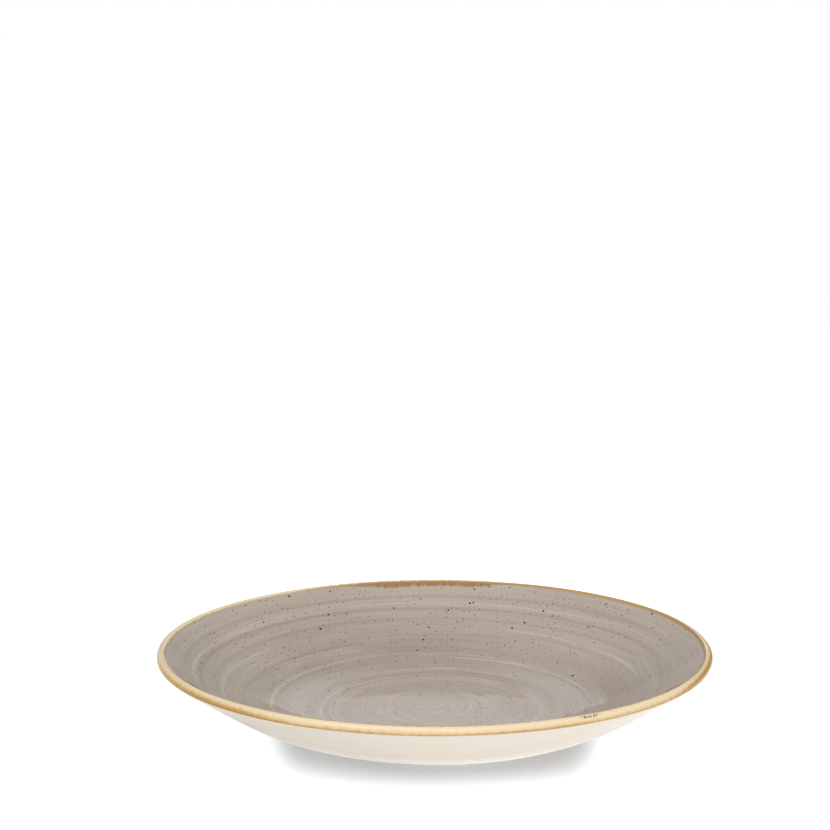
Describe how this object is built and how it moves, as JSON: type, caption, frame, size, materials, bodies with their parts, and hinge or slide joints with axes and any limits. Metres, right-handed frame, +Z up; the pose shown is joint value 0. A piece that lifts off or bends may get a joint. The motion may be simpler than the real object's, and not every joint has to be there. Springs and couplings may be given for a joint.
{
  "type": "deep coupe plate",
  "caption": "Deep round stoneware coupe plate: flat well swept into a steep flared wall, rolled lip with a golden edge band, low foot ring; holds and serves food",
  "frame": {"origin": "on the table under the centre of the foot ring", "axes": "+Z up along the plate's axis; the plate is round, and -Y faces the viewer of the picture"},
  "size_m": [0.281, 0.281, 0.044],
  "materials": {
    "clay": "bare fired clay, wiped smooth",
    "stone_glaze": "glossy, brushed in rings, iron specks",
    "amber_glaze": "glossy, mottled golden brown",
    "cream_glaze": "glossy, plain"
  },
  "bodies": {
    "root": {"clay_body": "clay", "well_glaze": "stone_glaze", "edge_band_glaze": "amber_glaze", "underside_glaze": "cream_glaze", "foot_recess_glaze": "cream_glaze"}
  },
  "joints": []
}
